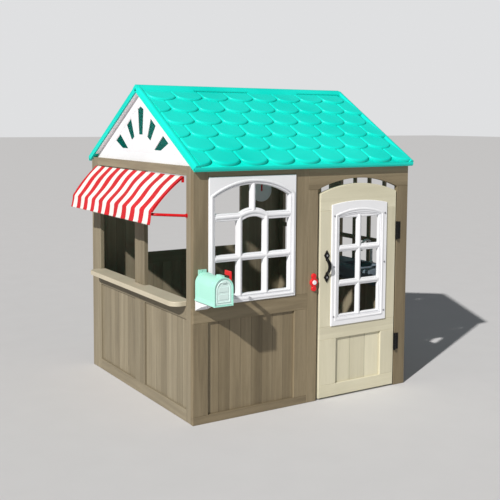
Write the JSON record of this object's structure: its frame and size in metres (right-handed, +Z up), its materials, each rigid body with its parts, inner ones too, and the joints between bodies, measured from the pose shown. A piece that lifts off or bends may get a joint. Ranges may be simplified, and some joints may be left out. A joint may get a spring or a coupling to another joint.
{
  "type": "garden playhouse",
  "caption": "Child-size garden playhouse with panelled walls, pitched moulded roof, hinged door, serving hatch with counter and striped awning, mailbox and doorbell.",
  "frame": {"origin": "on the ground under the middle of the whole outline, the awning and mailbox included", "axes": "+Z up, -Y out of the door wall, -X out of the serving hatch wall; the ridge runs along X"},
  "size_m": [1.3106, 1.2718, 1.415],
  "materials": {
    "walnut_wood": "stained, satin",
    "cream_wood": "painted, satin",
    "cream_plastic": "moulded, satin",
    "white_plastic": "moulded, satin",
    "teal_plastic": "moulded, fine texture",
    "mint_plastic": "moulded, satin",
    "red_plastic": "moulded, glossy",
    "grey_plastic": "moulded, satin",
    "awning_cloth": "red and white striped woven cloth",
    "red_rod": "powder coated",
    "black_metal": "powder coated",
    "zinc_steel": "zinc plated"
  },
  "bodies": {
    "house": {"front_bottom_rail": "walnut_wood", "front_lower_stiles": "walnut_wood", "front_mid_rail": "walnut_wood", "front_upper_stiles": "walnut_wood", "front_top_rail": "walnut_wood", "front_boards": "walnut_wood", "door_jamb_left": "walnut_wood", "door_jamb_right": "walnut_wood", "door_header": "walnut_wood", "door_stop": "walnut_wood", "left_bottom_rails": "walnut_wood", "left_mid_rails": "walnut_wood", "left_top_rail": "walnut_wood", "left_corner_stiles": "walnut_wood", "left_centre_posts": "walnut_wood", "left_boards": "walnut_wood", "right_stiles": "walnut_wood", "right_rails": "walnut_wood", "right_boards": "walnut_wood", "right_grid_uprights": "walnut_wood", "right_grid_crossbars": "walnut_wood", "back_stiles": "walnut_wood", "back_rails": "walnut_wood", "back_bay_boards": "walnut_wood", "back_half_boards": "walnut_wood", "serving_counter": "cream_plastic", "front_window_frame": "white_plastic", "gable_insert_left": "white_plastic", "gable_insert_right": "white_plastic", "mailbox_bracket": "white_plastic", "sink_tap": "white_plastic", "clock_face": "white_plastic", "roof_front": "teal_plastic", "roof_back": "teal_plastic", "mailbox_body": "mint_plastic", "doorbell_plate": "red_plastic", "kitchen_counter": "grey_plastic", "sink_basin": "grey_plastic", "awning_fabric": "awning_cloth", "awning_frame": "red_rod", "awning_ribs": "red_rod", "hinge_jamb_leaves": "black_metal", "hinge_pins": "black_metal", "doorbell_spring": "zinc_steel"},
    "door": {"door_rails": "cream_wood", "door_lower_stiles": "cream_wood", "door_panel_boards": "cream_wood", "door_upper_stiles": "cream_wood", "door_top_rail": "cream_wood", "door_window_frame": "white_plastic", "door_handle": "black_metal", "door_screws": "zinc_steel", "hinge_door_leaves": "black_metal"},
    "mailbox_lid": {"mailbox_door": "cream_plastic"},
    "flag": {"mailbox_flag": "red_plastic"},
    "bell_button": {"doorbell_button": "white_plastic"},
    "hour_hand": {"clock_hour_hand": "red_plastic"},
    "minute_hand": {"clock_minute_hand": "red_plastic"}
  },
  "joints": [
    {"name": "door_hinge", "type": "hinge", "parent": "house", "child": "door", "pos_m": [0.57825, -0.475, 0.4], "axis": [0, 0, 1], "range_deg": [0, 165]},
    {"name": "mailbox_lid_hinge", "type": "hinge", "parent": "house", "child": "mailbox_lid", "pos_m": [-0.46175, -0.63, 0.5354], "axis": [1, 0, 0], "range_deg": [0, 90]},
    {"name": "flag_pivot", "type": "hinge", "parent": "house", "child": "flag", "pos_m": [-0.42075, -0.613, 0.596], "axis": [-1, 0, 0], "range_deg": [0, 90]},
    {"name": "bell_push", "type": "slide", "parent": "house", "child": "bell_button", "axis": [0, 1, 0], "range_m": [0, 0.0025], "stiffness_N_per_m": 400, "springref_m": -0.003},
    {"name": "hour_hand_turn", "type": "hinge", "parent": "house", "child": "hour_hand", "pos_m": [0.50025, 0.571, 0.868], "axis": [0, -1, 0], "continuous": true},
    {"name": "minute_hand_turn", "type": "hinge", "parent": "house", "child": "minute_hand", "pos_m": [0.50025, 0.571, 0.868], "axis": [0, -1, 0], "continuous": true}
  ]
}
